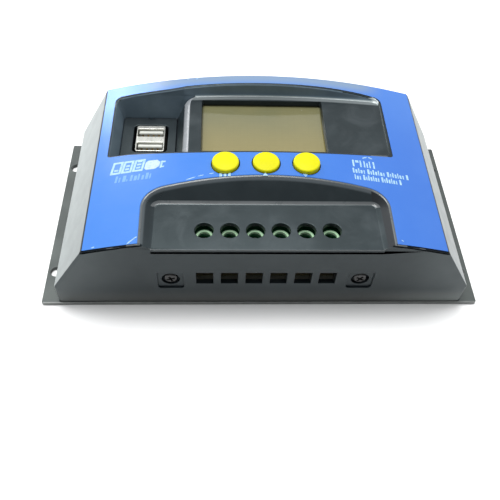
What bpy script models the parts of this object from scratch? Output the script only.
"""Solar charge controller: a crowned plastic case on a flanged aluminium back
plate, with a display window, a pair of upright USB sockets, three push buttons
and a six-pole screw terminal block.

Frame: the origin is the centre of the back plate's underside. +X runs along the
case, +Y from the wire entries (front) towards the display (rear), +Z out of the
mounting face. Dimensions are millimetres; every mesh is written in metres.
Z0 and Z1 in a name are the lower and upper faces of a piece. A footprint is
((x0, x1), (y0, y1)). Cutters overshoot the faces that they open.
"""
import math

import bmesh
import bpy
from mathutils import Matrix, Vector

MM = 0.001
GAP = 0.3  # clearance between neighbouring pieces
SHARP_ANGLE = 35  # degrees; turned pieces are shaded smooth below this

# ------------------------------------------------------- shared dimensions
# back plate
PLATE_HALF_X, PLATE_HALF_Y, PLATE_T = 95.0, 48.0, 2.0

# boards and their screws, as (x, y)
BOARD_T = 1.6
MAIN_Z0 = 8.0
MAIN_Z1 = MAIN_Z0 + BOARD_T
ON_MAIN = MAIN_Z1 + GAP  # underside of the parts on the main board
DISPLAY_Z0 = 30.0
DISPLAY_Z1 = DISPLAY_Z0 + BOARD_T
ON_DISPLAY = DISPLAY_Z1 + GAP
BOARD_SCREWS = ((-71.0, -34.0), (71.0, -34.0), (-71.0, 18.0), (71.0, 18.0))
BAR_SCREWS = ((-36.5, 36.0), (36.5, 36.0))
DISPLAY_SCREWS = ((-29.5, -13.5), (50.0, 33.0))
BOARD_HOLE_R, DISPLAY_HOLE_R = 1.8, 1.4

# case
CASE_HALF_X, CASE_HALF_Y, CASE_BOTTOM = 87.0, 47.5, PLATE_T + GAP
SKIRT_TOP = 12.8  # the sides are upright to here, then lean inwards
SKIRT_DROP = 0.4  # how far the skirt top falls for each unit of inset
TOP_HALF_X = 72.2
LABEL_SEAT = 0.7  # the case top lies this far below the label's upper face
CROWN_EDGE_Z, CROWN_EDGE_X = 37.93, 71.5
CROWN_K, CROWN_RISE = 0.00184, 0.0141  # curve across X, slope along Y
CROWN_STEPS = 16

# case screws, driven level through the front and rear walls into the tabs
CENTRE_X = 0.6
CASE_SCREW_X, CASE_SCREW_Z = 39.4, 18.4
CASE_SCREWS = [  # (name ending, x, sign of y)
    (f"{end}_{side}", CENTRE_X + side_sign * CASE_SCREW_X, end_sign)
    for end, end_sign in (("front", -1), ("rear", 1))
    for side, side_sign in (("left", -1), ("right", 1))
]
COUNTERBORE_R, COUNTERBORE_D = 3.8, 2.5

# display recess and the deeper bay beside it
PLATEAU_Z, PLATEAU_X0, PLATEAU_X1 = 42.0, -34.3, 55.9
PLATEAU_FRONT_Y, PLATEAU_BACK_Y, PLATEAU_BOW = 1.8, 40.9, 0.0010
PLATEAU_MARGIN = 1.0  # the recess starts this far left of PLATEAU_X0
FRONT_WALL_SLOPE, BACK_WALL_SLOPE, LEFT_WALL_SLOPE = 0.61, 0.01, 0.226
BOW_LOSS = 0.00015  # the bow of the back wall flattens with height
# outward shift of each wall for each unit of wall thickness
FRONT_WALL_GROWTH, BACK_WALL_GROWTH, LEFT_WALL_GROWTH = 1.15, 1.1, 0.5
BAY_FLOOR_Z = 31.0
BAY = ((-64.3, -38.7), (3.5, 37.5))
BAY_CORNER_R, BAY_WIDENING = 1.5, 2.5  # widening of the left side at the plateau
BAY_LEAN, BAY_LEAN_GROWTH = 0.0084, 0.00515
CUT_TOP_Z = 54.0  # recess cutters reach past the crown to here

# terminal recess
SHELF_Z, SHELF_X, SHELF_HALF_X, SHELF_BACK_Y, SHELF_T = 40.0, 0.25, 45.6, -24.4, 2.0
SHELF_BACK_SLOPE, SHELF_SIDE_SLOPE = 1.107, 1.5
SHELF_SIDE_GROWTH, SHELF_BACK_GROWTH = 1.7, 1.45  # for each unit of wall
SHELF_CORNER_R, SHELF_CORNER_GROWTH, SHELF_CORNER_MIN = 2.0, 2.0, 0.6
SHELF_CUT_Y = -60.0

# terminals
POLES, PITCH, POLE_Y = 6, 10.16, -38.2
POLE_XS = [CENTRE_X + (i - (POLES - 1) / 2) * PITCH for i in range(POLES)]

# buttons
BUTTON_X, BUTTON_PITCH, BUTTON_Y, BUTTON_HOLE_R = 0.47, 16.83, -8.9, 5.95
BUTTONS = [(BUTTON_X + i * BUTTON_PITCH, BUTTON_Y) for i in (-1, 0, 1)]
BUTTON_HOLE_Z, BUTTON_HOLE_DEPTH = 41.0, 12.0

for old in list(bpy.data.objects):
    bpy.data.objects.remove(old, do_unlink=True)


# --------------------------------------------------------------- materials
def material(name, rgb, roughness, metallic=0.0):
    mat = bpy.data.materials.new(name)
    mat.use_nodes = True
    inputs = mat.node_tree.nodes["Principled BSDF"].inputs
    inputs["Base Color"].default_value = (*rgb, 1.0)
    inputs["Roughness"].default_value = roughness
    inputs["Metallic"].default_value = metallic
    return mat


PLATE_GREY = material(
    "plate_anodised_grey", rgb=(0.10, 0.115, 0.11), roughness=0.45, metallic=0.7
)
CASE_BLACK = material("case_black_abs", rgb=(0.030, 0.031, 0.034), roughness=0.38)
LABEL_BLUE = material("label_blue", rgb=(0.075, 0.27, 0.86), roughness=0.30)
CAP_YELLOW = material("cap_yellow", rgb=(1.0, 0.86, 0.01), roughness=0.42)
BLOCK_GREEN = material("terminal_green", rgb=(0.03, 0.24, 0.09), roughness=0.45)
SCREW_STEEL = material("zinc_steel", rgb=(0.62, 0.62, 0.60), roughness=0.30, metallic=1.0)
CLAMP_BRASS = material("nickel_brass", rgb=(0.66, 0.58, 0.38), roughness=0.35, metallic=1.0)
BOARD_GREEN = material("board_green", rgb=(0.02, 0.12, 0.05), roughness=0.45)
DISPLAY_GLASS = material("display_glass", rgb=(0.36, 0.33, 0.19), roughness=0.20)
BACKLIGHT_WHITE = material("backlight_white", rgb=(0.80, 0.80, 0.76), roughness=0.50)
SOCKET_STEEL = material("socket_steel", rgb=(0.60, 0.60, 0.58), roughness=0.30, metallic=1.0)
SOCKET_WHITE = material("socket_white", rgb=(0.88, 0.88, 0.85), roughness=0.45)
CHIP_BLACK = material("chip_black", rgb=(0.02, 0.02, 0.02), roughness=0.55)
PAD_GREY = material("thermal_pad_grey", rgb=(0.40, 0.42, 0.44), roughness=0.90)
CAN_SLEEVE = material("capacitor_sleeve", rgb=(0.03, 0.035, 0.05), roughness=0.35)
FERRITE = material("ferrite_core", rgb=(0.45, 0.32, 0.08), roughness=0.55)


# ----------------------------------------------------------- mesh builders
def new_object(name, bm, mat, origin=(0.0, 0.0, 0.0), smooth=False):
    """Puts a mesh drawn in world millimetres into an object with its own origin."""
    bmesh.ops.recalc_face_normals(bm, faces=bm.faces)
    to_metres = Matrix.Scale(MM, 4) @ Matrix.Translation(-Vector(origin))
    bmesh.ops.transform(bm, matrix=to_metres, verts=bm.verts)
    mesh = bpy.data.meshes.new(name)
    bm.to_mesh(mesh)
    bm.free()
    if mat is not None:
        mesh.materials.append(mat)
    if smooth:
        mesh.shade_smooth()
        mesh.set_sharp_from_angle(angle=math.radians(SHARP_ANGLE))
    obj = bpy.data.objects.new(name, mesh)
    obj.location = Vector(origin) * MM
    bpy.context.scene.collection.objects.link(obj)
    return obj


def loft(name, rings, mat=None, **kw):
    """Closed loops of equal length joined in order, with both ends capped."""
    bm = bmesh.new()
    loops = [[bm.verts.new(p) for p in ring] for ring in rings]
    count = len(loops[0])
    for low, high in zip(loops, loops[1:]):
        for i in range(count):
            j = (i + 1) % count
            bm.faces.new((low[i], low[j], high[j], high[i]))
    bm.faces.new(list(reversed(loops[0])))
    bm.faces.new(loops[-1])
    return new_object(name, bm, mat, **kw)


def box(name, xs, ys, zs, mat=None, **kw):
    """A box between two values on each axis; a pair may be in either order."""
    x0, x1 = sorted(xs)
    y0, y1 = sorted(ys)
    ring = [(x0, y0), (x1, y0), (x1, y1), (x0, y1)]
    return loft(name, [[(x, y, z) for x, y in ring] for z in zs], mat, **kw)


def span(middle, width):
    return middle - width / 2, middle + width / 2


def grown(footprint, by):
    """A footprint with every side moved outwards."""
    (x0, x1), (y0, y1) = footprint
    return (x0 - by, x1 + by), (y0 - by, y1 + by)


TILT = {"Z": 0, "Y": -90, "-Y": 90}  # degrees about X that turn +Z to each axis


def turned(name, profile, base, mat=None, steps=24, axis="Z", **kw):
    """A solid of revolution standing on base.

    profile runs from one pole to the other as (radius, height along axis).
    """
    bm = bmesh.new()
    angles = [2 * math.pi * (k + 0.5) / steps for k in range(steps)]
    rows = []
    for r, h in profile:
        if r < 1e-6:
            rows.append([bm.verts.new((0.0, 0.0, h))])
        else:
            rows.append([bm.verts.new((r * math.cos(a), r * math.sin(a), h)) for a in angles])
    for low, high in zip(rows, rows[1:]):
        for k in range(steps):
            j = (k + 1) % steps
            if len(low) == 1:
                bm.faces.new((low[0], high[k], high[j]))
            elif len(high) == 1:
                bm.faces.new((low[k], high[0], low[j]))
            else:
                bm.faces.new((low[k], high[k], high[j], low[j]))
    turn = Matrix.Rotation(math.radians(TILT[axis]), 4, "X")
    bmesh.ops.transform(bm, matrix=Matrix.Translation(Vector(base)) @ turn, verts=bm.verts)
    return new_object(name, bm, mat, smooth=True, **kw)


def rod(name, base, r, length, axis="Z", mat=None, steps=24, **kw):
    profile = [(0, 0), (r, 0), (r, length), (0, length)]
    return turned(name, profile, base, mat, steps, axis, **kw)


# ---------------------------------------------------------------- booleans
def modify(obj, cutter, operation):
    cutter.hide_render = True
    cutter.display_type = "WIRE"
    mod = obj.modifiers.new(operation.lower() + "_" + cutter.name, "BOOLEAN")
    mod.operation = operation
    mod.solver = "EXACT"
    mod.object = cutter


def cut(obj, *cutters):
    for cutter in cutters:
        modify(obj, cutter, "DIFFERENCE")


def join(obj, *others):
    for other in others:
        modify(obj, other, "UNION")


def drill(obj, stem, places, z, r, length, steps):
    """Cuts a numbered upright cylinder, starting at z, at each (x, y)."""
    for i, (x, y) in enumerate(places):
        cut(obj, rod(f"{stem}_{i}", (x, y, z), r, length, steps=steps))


# ---------------------------------------------------------------- outlines
def crown(x, y):
    """Height of the label's upper face."""
    return (
        CROWN_EDGE_Z
        + CROWN_RISE * (y + CASE_HALF_Y)
        + CROWN_K * (CROWN_EDGE_X**2 - x * x)
    )


def crown_section(half_x, y, drop):
    """The crown from right to left at one y, lowered by drop."""
    xs = [half_x * (1 - 2 * i / CROWN_STEPS) for i in range(CROWN_STEPS + 1)]
    return [(x, y, crown(x, y) - drop) for x in xs]


def case_section(y, inset, drop, bottom):
    """Outline of the case across X, moved in at the sides and lowered by drop at the top."""
    side = CASE_HALF_X - inset
    skirt = SKIRT_TOP - inset * SKIRT_DROP
    return (
        [(-side, y, bottom), (side, y, bottom), (side, y, skirt)]
        + crown_section(TOP_HALF_X - inset, y, drop)
        + [(-side, y, skirt)]
    )


def rounded(footprint, radii, z, steps=5):
    """A rounded rectangle, anticlockwise from its front left corner, one radius a corner."""
    (x0, x1), (y0, y1) = footprint
    corners = (  # corner, direction to the middle, first angle of the arc
        (x0, y0, 1, 1, 180),
        (x1, y0, -1, 1, 270),
        (x1, y1, -1, -1, 0),
        (x0, y1, 1, -1, 90),
    )
    points = []
    for (cx, cy, sx, sy, start), r in zip(corners, radii):
        for k in range(steps + 1):
            a = math.radians(start + 90 * k / steps)
            points.append((cx + sx * r + r * math.cos(a), cy + sy * r + r * math.sin(a), z))
    return points


def rounded_block(name, footprint, r, zs, mat=None):
    return loft(name, [rounded(footprint, (r,) * 4, z) for z in zs], mat)


def bowed(footprint, radii, z, bow, steps=12):
    """As rounded, with the back edge an arc that curves forward as bow * x squared."""
    ring = rounded(footprint, radii, z)
    front, right, left = ring[:12], ring[12:18], ring[18:]
    x_right, x_left = right[-1][0], left[0][0]
    y1 = footprint[1][1]
    middle = [(x_right + (x_left - x_right) * k / steps, y1, z) for k in range(1, steps)]
    return front + [(x, y - bow * x * x, z) for x, y, z in right + middle + left]


def leaning(footprint, radii, z, lean):
    """As rounded, with the back edge slanting forward as it runs left."""
    (_, x1), (y0, y1) = footprint
    return [
        (x, y + lean * (x - x1) * (y - y0) / (y1 - y0), z)
        for x, y, z in rounded(footprint, radii, z)
    ]


# ---------------------------------------------------------- recess volumes
# wall thickens a recess outwards, for the moulded wall around it; up is the
# height above the plateau or the shelf
def back_bow(up):
    return PLATEAU_BOW - BOW_LOSS * up


def back_wall(x, up, wall):
    """Y of the back wall of the display recess at x."""
    return (
        PLATEAU_BACK_Y
        + BACK_WALL_SLOPE * up
        + wall * BACK_WALL_GROWTH
        - back_bow(up) * x * x
    )


def front_wall(up, wall):
    """Y of the front wall of the display recess and the bay."""
    return PLATEAU_FRONT_Y - FRONT_WALL_SLOPE * up - wall * FRONT_WALL_GROWTH


def display_recess(name, wall, floor_z):
    """The level display recess."""
    xs = (PLATEAU_X0 - PLATEAU_MARGIN - wall * LEFT_WALL_GROWTH, PLATEAU_X1 + wall)
    rings = []
    for z in (floor_z, CUT_TOP_Z):
        up = z - PLATEAU_Z
        ys = (front_wall(up, wall), back_wall(0.0, up, wall))
        rings.append(bowed((xs, ys), (0.8, 1.0, 3.0, 0.05), z, back_bow(up)))
    return loft(name, rings)


def bay_recess(name, wall, floor_z):
    """The deeper bay that the sockets stand in."""
    rings = [
        rounded(grown(BAY, wall), (BAY_CORNER_R,) * 4, z) for z in (floor_z, BAY_FLOOR_Z)
    ]
    for up, corner in ((0.0, 3.5), (CUT_TOP_Z - PLATEAU_Z, 6.0)):
        x0 = BAY[0][0] - BAY_WIDENING - LEFT_WALL_SLOPE * up - wall
        ys = (front_wall(up, wall), back_wall(PLATEAU_X0, up, wall))
        rings.append(
            leaning(
                ((x0, PLATEAU_X0 + wall), ys),
                (1.2, 1.2, 0.05, corner),
                PLATEAU_Z + up,
                BAY_LEAN + BAY_LEAN_GROWTH * up,
            )
        )
    return loft(name, rings)


def terminal_recess(name, wall, floor_z):
    """The sloping recess around the driver holes, open at the front."""
    rings = []
    for z in (floor_z, CUT_TOP_Z):
        up = z - SHELF_Z
        half = SHELF_HALF_X + SHELF_SIDE_SLOPE * up + wall * SHELF_SIDE_GROWTH
        back_y = SHELF_BACK_Y + SHELF_BACK_SLOPE * up + wall * SHELF_BACK_GROWTH
        r = max(SHELF_CORNER_MIN, SHELF_CORNER_R + SHELF_CORNER_GROWTH * up)
        footprint = ((SHELF_X - half, SHELF_X + half), (SHELF_CUT_Y, back_y))
        ring = rounded(footprint, (0.0001, 0.0001, r, r), z, 6)
        # one point for each front corner, so that these stay square
        rings.append(ring[6:8] + ring[14:])
    return loft(name, rings)


# -------------------------------------------------------------- back plate
ROOT_Z = 1.0  # tabs and posts start inside the plate
TAB_W, TAB_T, TAB_TOP, TAB_FACE_Y = 12.0, 2.0, 25.0, 43.0
TAB_HOLE_R, TAB_HOLE_LENGTH = 1.8, 6.0
POST_R = 3.2
POSTS = (  # name, places, top
    ("standoff", BOARD_SCREWS, MAIN_Z0 - GAP),
    ("bar_boss", BAR_SCREWS, 7.0),
)
THREAD_R, THREAD_Z, THREAD_DEPTH = 1.8, 3.0, 8.0
MOUNT_X, MOUNT_Y, MOUNT_HOLE_R = 91.2, 31.8, 2.5
MOUNT_HOLES = [(sx * MOUNT_X, sy * MOUNT_Y) for sy in (-1, 1) for sx in (-1, 1)]

base_plate = box(
    "base_plate",
    (-PLATE_HALF_X, PLATE_HALF_X),
    (-PLATE_HALF_Y, PLATE_HALF_Y),
    (0.0, PLATE_T),
    PLATE_GREY,
)
for place, x, sign in CASE_SCREWS:
    tab_ys = (sign * TAB_FACE_Y, sign * (TAB_FACE_Y - TAB_T))
    join(base_plate, box(f"tab_{place}", span(x, TAB_W), tab_ys, (ROOT_Z, TAB_TOP)))
for stem, places, top in POSTS:
    for i, (x, y) in enumerate(places):
        join(base_plate, rod(f"{stem}_{i}", (x, y, ROOT_Z), POST_R, top - ROOT_Z, steps=14))
for place, x, sign in CASE_SCREWS:
    start = (x, sign * (TAB_FACE_Y - TAB_T / 2) - TAB_HOLE_LENGTH / 2, CASE_SCREW_Z)
    cut(base_plate, rod(f"tab_hole_{place}", start, TAB_HOLE_R, TAB_HOLE_LENGTH, "Y", steps=16))
drill(base_plate, "thread", BOARD_SCREWS + BAR_SCREWS, THREAD_Z, THREAD_R, THREAD_DEPTH, 16)
drill(base_plate, "mount_hole", MOUNT_HOLES, -2, MOUNT_HOLE_R, 6.0, 20)

# ------------------------------------------- case cavity and what it spares
WALL, ROOF_T = 2.2, 2.0
DISPLAY_WALL, BAY_WALL, TERMINAL_WALL = 2.0, 1.9, 1.2
DISPLAY_FLOOR_T, BAY_FLOOR_T = 2.0, 1.7
PAD_W, PAD_H, PAD_D = 14.0, 15.2, 4.2
DISPLAY_BOSS_R = 3.0

case_shell = loft(
    "case_shell",
    [case_section(y, 0.0, LABEL_SEAT, CASE_BOTTOM) for y in (-CASE_HALF_Y, CASE_HALF_Y)],
    CASE_BLACK,
)
cavity = loft(
    "cavity",
    [
        case_section(y, WALL, LABEL_SEAT + ROOF_T, CASE_BOTTOM - 3)
        for y in (-CASE_HALF_Y + WALL, CASE_HALF_Y - WALL)
    ],
)
# recess walls, screw pads and display bosses stay standing
cut(
    cavity,
    display_recess("display_wall", DISPLAY_WALL, PLATEAU_Z - DISPLAY_FLOOR_T),
    bay_recess("bay_wall", BAY_WALL, BAY_FLOOR_Z - BAY_FLOOR_T),
    terminal_recess("terminal_wall", TERMINAL_WALL, SHELF_Z - SHELF_T),
)
for place, x, sign in CASE_SCREWS:
    pad_ys = (sign * 50.0, sign * (CASE_HALF_Y - PAD_D))
    cut(cavity, box(f"pad_{place}", span(x, PAD_W), pad_ys, span(CASE_SCREW_Z, PAD_H)))
drill(cavity, "display_boss", DISPLAY_SCREWS, ON_DISPLAY, DISPLAY_BOSS_R, 20.0, 16)

# ------------------------------------------------------- case shell openings
OUTSIDE_Y = 49.0  # cutters for the front and rear walls start here
WINDOW = ((-27.0, 28.6), (4.0, 37.3))  # display opening at the plateau
WINDOW_DRAFT, WINDOW_CORNER_R = 0.9, 0.6
DRIVER_HOLE_R, DRIVER_HOLE_Z, DRIVER_HOLE_LENGTH = 3.75, 36.5, 6.0
WIRE_HOLE_W, WIRE_HOLE_H, WIRE_Z, WIRE_HOLE_END_Y = 7.0, 7.6, 19.9, -44.0
POCKET_W, POCKET_H, POCKET_D = 10.8, 11.6, 0.8
CLEARANCE_R, CLEARANCE_LENGTH = 1.8, 8.0
LIP_Y, LIP_BACK_Y, LIP_H = -47.9, -46.0, 1.4
GROOVE_Z0, GROOVE_Z1, GROOVE_Y = 36.8, SHELF_Z - LIP_H, -46.6  # shadow line under the lip

cut(
    case_shell,
    cavity,
    display_recess("display_pocket", 0.0, PLATEAU_Z),
    bay_recess("bay_pocket", 0.0, BAY_FLOOR_Z - 4.0),
    terminal_recess("shelf_pocket", 0.0, SHELF_Z),
    loft(
        "window_cut",
        [
            rounded(grown(WINDOW, growth), (WINDOW_CORNER_R,) * 4, z)
            for growth, z in (
                (-WINDOW_DRAFT, PLATEAU_Z - 4),
                (WINDOW_DRAFT / 3, PLATEAU_Z + 1.5),
            )
        ],
    ),
)
drill(case_shell, "button_hole", BUTTONS, BUTTON_HOLE_Z, BUTTON_HOLE_R, BUTTON_HOLE_DEPTH, 20)
for i, x in enumerate(POLE_XS):
    start = (x, POLE_Y, DRIVER_HOLE_Z)
    cut(
        case_shell,
        rod(f"driver_hole_{i}", start, DRIVER_HOLE_R, DRIVER_HOLE_LENGTH, steps=20),
        box(
            f"wire_hole_{i}",
            span(x, WIRE_HOLE_W),
            (-OUTSIDE_Y, WIRE_HOLE_END_Y),
            span(WIRE_Z, WIRE_HOLE_H),
        ),
    )
for place, x, sign in CASE_SCREWS:
    axis = "Y" if sign < 0 else "-Y"
    start = (x, sign * OUTSIDE_Y, CASE_SCREW_Z)
    bore_length = OUTSIDE_Y - CASE_HALF_Y + COUNTERBORE_D
    pocket_ys = (sign * OUTSIDE_Y, sign * (CASE_HALF_Y - POCKET_D))
    cut(
        case_shell,
        box(f"pocket_{place}", span(x, POCKET_W), pocket_ys, span(CASE_SCREW_Z, POCKET_H)),
        rod(f"counterbore_{place}", start, COUNTERBORE_R, bore_length, axis),
        rod(f"clearance_{place}", start, CLEARANCE_R, CLEARANCE_LENGTH, axis, steps=16),
    )
lip_xs = (SHELF_X - SHELF_HALF_X, SHELF_X + SHELF_HALF_X)
cut(case_shell, box("lip_groove", lip_xs, (-OUTSIDE_Y, GROOVE_Y), (GROOVE_Z0, GROOVE_Z1)))
join(case_shell, box("front_lip", lip_xs, (LIP_Y, LIP_BACK_Y), (SHELF_Z - LIP_H, SHELF_Z)))
drill(case_shell, "display_thread", DISPLAY_SCREWS, 30.0, DISPLAY_HOLE_R, 8.0, 12)

# ------------------------------------------------------------- front label
LABEL_HALF_X, LABEL_HALF_Y, LABEL_T = 71.4, 47.0, 0.4

face_overlay = loft(
    "face_overlay",
    [
        crown_section(LABEL_HALF_X, y, 0.0)
        + list(reversed(crown_section(LABEL_HALF_X, y, LABEL_T)))
        for y in (-LABEL_HALF_Y, LABEL_HALF_Y)
    ],
    LABEL_BLUE,
)
cut(
    face_overlay,
    display_recess("display_cutout", 0.0, PLATEAU_Z - 0.8),
    bay_recess("bay_cutout", 0.0, BAY_FLOOR_Z),
    terminal_recess("terminal_cutout", 0.0, SHELF_Z),
)
drill(face_overlay, "label_hole", BUTTONS, BUTTON_HOLE_Z, BUTTON_HOLE_R, BUTTON_HOLE_DEPTH, 20)

# -------------------------------------------------- socket bezel in the bay
BEZEL_T, BEZEL_CORNER_R, BEZEL_FLANGE = 3.0, 1.2, 1.6
FLANGE_Z0, FLANGE_Z1 = BAY_FLOOR_Z - 4.2, BAY_FLOOR_Z - 2.0
USB_OPENING, USB_OPENING_R = ((-58.7, -42.9), (14.2, 31.8)), 2.0
NOTCH_XS, NOTCH_INSET, NOTCH_DEPTH = (-52.1, -50.7), 1.3, 1.0

bezel_zs = (BAY_FLOOR_Z - BEZEL_T, BAY_FLOOR_Z)
usb_bezel = rounded_block("usb_bezel", grown(BAY, -GAP), BEZEL_CORNER_R, bezel_zs, CASE_BLACK)
flange = grown(BAY, BEZEL_FLANGE)
join(usb_bezel, rounded_block("bezel_flange", flange, BEZEL_CORNER_R, (FLANGE_Z0, FLANGE_Z1)))
opening_zs = (BAY_FLOOR_Z - 6, BAY_FLOOR_Z + 2)
bay_back_y = BAY[1][1]
cut(
    usb_bezel,
    rounded_block("socket_opening", USB_OPENING, USB_OPENING_R, opening_zs),
    box(
        "latch_notch",
        NOTCH_XS,
        (bay_back_y - NOTCH_INSET, bay_back_y + 3),
        (BAY_FLOOR_Z - NOTCH_DEPTH, BAY_FLOOR_Z + 1),
    ),
)

# ------------------------------------------------------------------ screws
# sizes: head radius, head height, shank radius, length
CASE_SCREW = (2.9, 1.5, 1.45, 7.5)
DISPLAY_SCREW = (2.4, 1.6, 1.1, 7.0)
BOARD_SCREW = (2.8, 1.9, 1.45, 6.2)
BAR_SCREW = (2.8, 1.9, 1.45, 6.8)
DRIVEN_SLOT_W = 0.8
SLOT_OVERCUT = 1


def driven_screw(name, seat, axis, head_r, head_h, shank_r, length):
    """A slotted pan head screw. seat is under the head; the shank runs along axis."""
    profile = [
        (0, -head_h),
        (head_r * 0.72, -head_h),
        (head_r, -head_h * 0.55),
        (head_r, 0),
        (shank_r, 0),
        (shank_r, length - shank_r * 0.6),
        (shank_r * 0.4, length),
        (0, length),
    ]
    screw = turned(name, profile, seat, SCREW_STEEL, 14, axis)
    x, y, z = seat
    outer, inner = head_h + SLOT_OVERCUT, head_h - head_h * 0.45
    if axis == "Z":
        ys, zs = span(y, DRIVEN_SLOT_W), (z - outer, z - inner)
    else:
        sign = 1 if axis == "Y" else -1
        ys, zs = (y - sign * outer, y - sign * inner), span(z, DRIVEN_SLOT_W)
    cut(screw, box(f"slot_{name}", span(x, 2 * (head_r + SLOT_OVERCUT)), ys, zs))


def down_screw(name, seat, head_r, head_h, shank_r, length, slot_w=0.9, **kw):
    """A slotted screw driven downwards, its head resting on seat."""
    profile = [
        (0, -length),
        (shank_r * 0.4, -length),
        (shank_r, -length + shank_r * 0.6),
        (shank_r, 0),
        (head_r, 0),
        (head_r, head_h * 0.6),
        (head_r * 0.8, head_h),
        (0, head_h),
    ]
    screw = turned(name, profile, seat, SCREW_STEEL, 14, **kw)
    x, y, z = seat
    slot_xs = span(x, 2 * (head_r + SLOT_OVERCUT))
    slot_zs = (z + head_h * 0.5, z + head_h + SLOT_OVERCUT)
    cut(screw, box(f"slot_{name}", slot_xs, span(y, slot_w), slot_zs))


for place, x, sign in CASE_SCREWS:
    seat = (x, sign * (CASE_HALF_Y - COUNTERBORE_D + GAP), CASE_SCREW_Z)
    driven_screw(f"case_screw_{place}", seat, "Y" if sign < 0 else "-Y", *CASE_SCREW)
for i, (x, y) in enumerate(BOARD_SCREWS):
    down_screw(f"board_screw_{i + 1}", (x, y, ON_MAIN), *BOARD_SCREW)
for i, (x, y) in enumerate(DISPLAY_SCREWS):
    driven_screw(f"display_screw_{i + 1}", (x, y, DISPLAY_Z0 - GAP), "Z", *DISPLAY_SCREW)

# -------------------------------------------------------------- main board
MAIN_OUTLINE = (  # x, y
    (-76.5, -40.6), (76.5, -40.6), (76.5, 24.5),
    (-41.5, 24.5), (-41.5, 33.0), (-76.5, 33.0),
)
MOSFET_XS = (-27.0, -9.0, 9.0, 27.0)
LEAD_NOTCH_W, LEAD_NOTCH_Y = 8.4, 21.6

main_board = loft(
    "main_board",
    [[(x, y, z) for x, y in MAIN_OUTLINE] for z in (MAIN_Z0, MAIN_Z1)],
    BOARD_GREEN,
)
drill(main_board, "board_hole", BOARD_SCREWS, 6.0, BOARD_HOLE_R, 6.0, 16)
for i, x in enumerate(MOSFET_XS):
    notch_xs = span(x, LEAD_NOTCH_W)
    cut(main_board, box(f"lead_notch_{i}", notch_xs, (LEAD_NOTCH_Y, 30.0), (6.0, 11.0)))

# --------------------------------------- switching transistors on the plate
PAD_XS, PAD_YS, PAD_T = (-32.6, 32.6), (26.6, 40.7), 0.5
PAD_Z0 = PLATE_T + GAP
PAD_Z1 = PAD_Z0 + PAD_T
MOSFET_W, MOSFET_YS, MOSFET_Z1 = 10.2, (27.0, 40.6), 7.5
LEAD_PITCH, LEAD_W = 2.54, 0.8
LEAD_YS, LEAD_ZS = (22.6, 28.0), (5.1, 5.6)  # level part
LEG_YS, LEG_ZS = (22.4, 23.0), (5.0, 11.0)  # upright part
BAR_XS, BAR_YS, BAR_Z0, BAR_Z1 = (-40.6, 40.6), (33.0, 39.0), MOSFET_Z1 + GAP, 10.2

box("thermal_pad", PAD_XS, PAD_YS, (PAD_Z0, PAD_Z1), PAD_GREY)
for i, x in enumerate(MOSFET_XS):
    mosfet_zs = (PAD_Z1 + GAP, MOSFET_Z1)
    body = box(f"mosfet_{i + 1}", span(x, MOSFET_W), MOSFET_YS, mosfet_zs, CHIP_BLACK)
    for k in range(3):
        lead_xs = span(x + LEAD_PITCH * (k - 1), LEAD_W)
        join(
            body,
            box(f"lead_{i}_{k}", lead_xs, LEAD_YS, LEAD_ZS),
            box(f"leg_{i}_{k}", lead_xs, LEG_YS, LEG_ZS),
        )
clamp_bar = box("clamp_bar", BAR_XS, BAR_YS, (BAR_Z0, BAR_Z1), PLATE_GREY)
drill(clamp_bar, "bar_hole", BAR_SCREWS, 6.0, BOARD_HOLE_R, 6.0, 16)
for i, (x, y) in enumerate(BAR_SCREWS):
    down_screw(f"clamp_bar_screw_{i + 1}", (x, y, BAR_Z1 + GAP), *BAR_SCREW)

# ---------------------------------------------------------- terminal block
BLOCK_YS, BLOCK_TOP, BLOCK_END = (-44.6, -24.2), 33.5, 0.9
RING_R, RING_TOP, RING_SUNK = 3.7, 35.8, 1.5
CHAMBER_W, CHAMBER_YS, CHAMBER_Z0, CHAMBER_Z1 = 8.4, (-46.0, -30.5), 13.8, 29.0
WELL_R, WELL_FLOOR = 3.0, 30.0
STRIP_W, STRIP_YS, STRIP_ZS = 4.4, (-42.6, -25.0), (21.6, 22.4)
SCREW_R, SCREW_HEAD_R, SCREW_SLOT_W = 2.0, 2.7, 1.0
SCREW_TIP_Z, SCREW_HEAD_Z0, SCREW_HEAD_Z1 = 23.3, 30.3, 32.8
SCREW_BORE_R = SCREW_R + GAP
CAGE_W, CAGE_D, CAGE_Z0, CAGE_Z1 = 7.8, 8.0, 14.3, 25.1
CAGE_WINDOW_W, CAGE_WINDOW_Z0, CAGE_WINDOW_Z1 = 5.8, 15.9, 22.9
WELL_PROFILE = (  # radius, z
    (0, CHAMBER_Z1 - 1.5),
    (SCREW_BORE_R, CHAMBER_Z1 - 1.5),
    (SCREW_BORE_R, WELL_FLOOR),
    (WELL_R, WELL_FLOOR),
    (WELL_R, RING_TOP + 2),
    (0, RING_TOP + 2),
)

block_xs = span(CENTRE_X, POLES * PITCH + 2 * BLOCK_END)
terminal_block = box("terminal_block", block_xs, BLOCK_YS, (ON_MAIN, BLOCK_TOP), BLOCK_GREEN)
for i, x in enumerate(POLE_XS):
    base = (x, POLE_Y, BLOCK_TOP - RING_SUNK)
    join(terminal_block, rod(f"ring_{i}", base, RING_R, RING_TOP - BLOCK_TOP + RING_SUNK, steps=20))
for i, x in enumerate(POLE_XS):
    chamber_zs = (CHAMBER_Z0, CHAMBER_Z1)
    chamber = box(f"chamber_{i}", span(x, CHAMBER_W), CHAMBER_YS, chamber_zs)
    # the contact strip that the wire is pressed against stays standing
    cut(chamber, box(f"strip_{i}", span(x, STRIP_W), STRIP_YS, STRIP_ZS))
    well = turned(f"well_{i}", WELL_PROFILE, (x, POLE_Y, 0.0), steps=16)
    cut(terminal_block, chamber, well)


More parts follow.
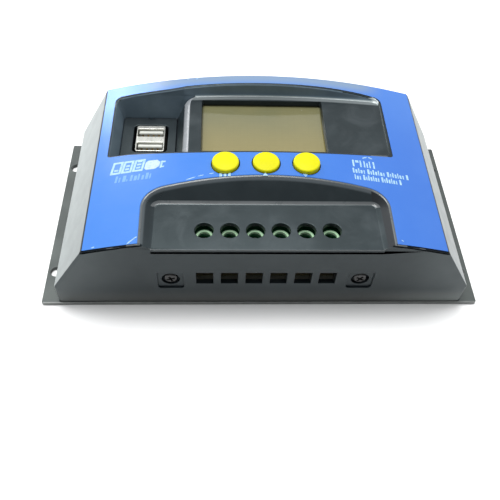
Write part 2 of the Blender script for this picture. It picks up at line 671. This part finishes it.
def terminal_screw(i, x):
    seat = (x, POLE_Y, SCREW_HEAD_Z0)
    down_screw(
        f"terminal_screw_{i + 1}",
        seat,
        SCREW_HEAD_R,
        SCREW_HEAD_Z1 - SCREW_HEAD_Z0,
        SCREW_R,
        SCREW_HEAD_Z0 - SCREW_TIP_Z,
        SCREW_SLOT_W,
        origin=seat,
    )


def terminal_clamp(i, x):
    """The cage around the wire, open to front and back, with the screw through its top."""
    clamp = box(
        f"terminal_clamp_{i + 1}",
        span(x, CAGE_W),
        span(POLE_Y, CAGE_D),
        (CAGE_Z0, CAGE_Z1),
        CLAMP_BRASS,
        origin=(x, POLE_Y, CAGE_Z0),
    )
    window_zs = (CAGE_WINDOW_Z0, CAGE_WINDOW_Z1)
    bore_base = (x, POLE_Y, CAGE_WINDOW_Z1 - 1.0)
    cut(
        clamp,
        box(f"clamp_window_{i}", span(x, CAGE_WINDOW_W), span(POLE_Y, 2 * CAGE_D), window_zs),
        rod(f"clamp_thread_{i}", bore_base, SCREW_BORE_R, 6.0, steps=16),
    )


for i, x in enumerate(POLE_XS):
    terminal_screw(i, x)
    terminal_clamp(i, x)

# ------------------------------------------------------------ display side
DISPLAY_BOARD = ((-33.0, 57.0), (-17.0, 42.0))
GLASS = ((-29.2, 30.8), (2.4, 38.9))
BACKLIGHT_Z1, GLASS_Z1, FRAME_Z1 = 35.6, 38.8, 39.7
FRAME_RIM, FRAME_BACK_RIM, FRAME_OVERLAP = 1.8, 1.4, 1.6
HEADER = ((48.7, 51.3), (-8.0, 12.3))

display_board = box("display_board", *DISPLAY_BOARD, (DISPLAY_Z0, DISPLAY_Z1), BOARD_GREEN)
drill(display_board, "display_hole", DISPLAY_SCREWS, 28.0, DISPLAY_HOLE_R, 6.0, 12)
box("lcd_backlight", *GLASS, (ON_DISPLAY, BACKLIGHT_Z1), BACKLIGHT_WHITE)
box("lcd_glass", *GLASS, (BACKLIGHT_Z1 + GAP, GLASS_Z1), DISPLAY_GLASS)
frame_xs, (frame_y0, _) = grown(GLASS, FRAME_RIM)
frame_ys = (frame_y0, GLASS[1][1] + FRAME_BACK_RIM)
lcd_frame = box("lcd_frame", frame_xs, frame_ys, (ON_DISPLAY, FRAME_Z1), CASE_BLACK)
cut(
    lcd_frame,
    box("frame_inner", *grown(GLASS, GAP), (30.0, GLASS_Z1 + GAP)),
    box("frame_window", *grown(GLASS, -FRAME_OVERLAP), (38.0, 41.0)),
)
box("board_header", *HEADER, (ON_MAIN, DISPLAY_Z0 - GAP), CHIP_BLACK)

# ----------------------------------------------------------------- buttons
CAP_R, CAP_TOP, CAP_STEM_R, CAP_STEM_Z0 = 5.6, 49.35, 2.6, 40.0
CAP_FLANGE_R, CAP_FLANGE_Z0, CAP_FLANGE_Z1 = 6.8, 42.4, 43.6
CAP_PROFILE = (  # radius, z, from the stem up over the dome
    (0.0, CAP_STEM_Z0),
    (CAP_STEM_R, CAP_STEM_Z0),
    (CAP_STEM_R, CAP_FLANGE_Z0),
    (CAP_FLANGE_R, CAP_FLANGE_Z0),
    (CAP_FLANGE_R, CAP_FLANGE_Z1),
    (CAP_R, CAP_FLANGE_Z1),
    (CAP_R, CAP_TOP - 1.30),
    (5.1, CAP_TOP - 0.60),
    (4.2, CAP_TOP - 0.24),
    (2.6, CAP_TOP - 0.06),
    (0.0, CAP_TOP),
)
PLUNGER_R, PLUNGER_Z0, PLUNGER_H, PLUNGER_BORE_R = 1.75, 32.9, 6.8, 2.1
SWITCH_W, SWITCH_Z1 = 6.0, 35.4

for i, (side, (x, y)) in enumerate(zip(("left", "middle", "right"), BUTTONS)):
    base = (x, y, CAP_STEM_Z0)
    profile = [(r, z - CAP_STEM_Z0) for r, z in CAP_PROFILE]
    turned(f"button_cap_{side}", profile, base, CAP_YELLOW, 20, origin=base)
    rod(
        f"switch_plunger_{side}",
        (x, y, PLUNGER_Z0),
        PLUNGER_R,
        PLUNGER_H,
        mat=CHIP_BLACK,
        steps=12,
        origin=(x, y, PLUNGER_Z0),
    )
    body = box(
        f"switch_body_{side}",
        span(x, SWITCH_W),
        span(y, SWITCH_W),
        (ON_DISPLAY, SWITCH_Z1),
        CHIP_BLACK,
    )
    cut(body, rod(f"plunger_bore_{i}", (x, y, 32.4), PLUNGER_BORE_R, 6.0, steps=12))

# ------------------------------------------------------------- USB sockets
USB_XS, USB_YS, USB_TOP = (-57.4, -44.2), (14.6, 31.3), 31.2
USB_X = sum(USB_XS) / 2
USB_WALL = 0.7  # front and back walls of the metal shell
PORT_W, PORT_D, PORT_Z0 = 12.0, 5.1, 22.0
PORT_YS = (17.75, 26.65)  # middle of each mouth
INSULATOR_TOP = 22.4
TONGUE_W, TONGUE_ZS = 11.2, (21.0, 30.3)
TONGUE_Y0, TONGUE_Y1 = 0.35, 2.2  # from the middle of the mouth

usb_core = (span(USB_X, PORT_W), (USB_YS[0] + USB_WALL, USB_YS[1] - USB_WALL))
usb_shell = box("usb_shell", USB_XS, USB_YS, (ON_MAIN, USB_TOP), SOCKET_STEEL)
for i, y in enumerate(PORT_YS):
    cut(usb_shell, box(f"port_{i}", span(USB_X, PORT_W), span(y, PORT_D), (PORT_Z0, 33.0)))
cut(usb_shell, box("socket_core", *usb_core, (9.0, 23.0)))
insulator_zs = (ON_MAIN, INSULATOR_TOP)
usb_insulator = box("usb_insulator", *grown(usb_core, -GAP), insulator_zs, SOCKET_WHITE)
for i, y in enumerate(PORT_YS):
    tongue_ys = (y + TONGUE_Y0, y + TONGUE_Y1)
    join(usb_insulator, box(f"tongue_{i}", span(USB_X, TONGUE_W), tongue_ys, TONGUE_ZS))

# ------------------------------------------------------ parts on the board
CAPACITORS = (  # name ending, x, radius, height
    ("input", 15.0, 8.0, 17.0),
    ("output", 33.0, 6.5, 16.0),
)
CAPACITOR_Y, CAN_BEVEL = 8.0, 0.4
INDUCTOR_X, INDUCTOR_Y = -14.0, 6.0
INDUCTOR_R, INDUCTOR_H, INDUCTOR_BORE_R = 10.0, 9.0, 4.5
CHIP, CHIP_Z1 = ((57.0, 67.0), (-12.0, -2.0)), 11.4

for ending, x, r, height in CAPACITORS:
    profile = [
        (0, 0),
        (r - CAN_BEVEL, 0),
        (r, CAN_BEVEL),
        (r, height - CAN_BEVEL),
        (r - CAN_BEVEL, height),
        (0, height),
    ]
    turned(f"capacitor_{ending}", profile, (x, CAPACITOR_Y, ON_MAIN), CAN_SLEEVE, 20)
base = (INDUCTOR_X, INDUCTOR_Y, ON_MAIN)
inductor = rod("inductor", base, INDUCTOR_R, INDUCTOR_H, mat=FERRITE)
cut(inductor, rod("inductor_bore", (*base[:2], 8.0), INDUCTOR_BORE_R, 14.0, steps=16))
box("controller_chip", *CHIP, (ON_MAIN, CHIP_Z1), CHIP_BLACK)
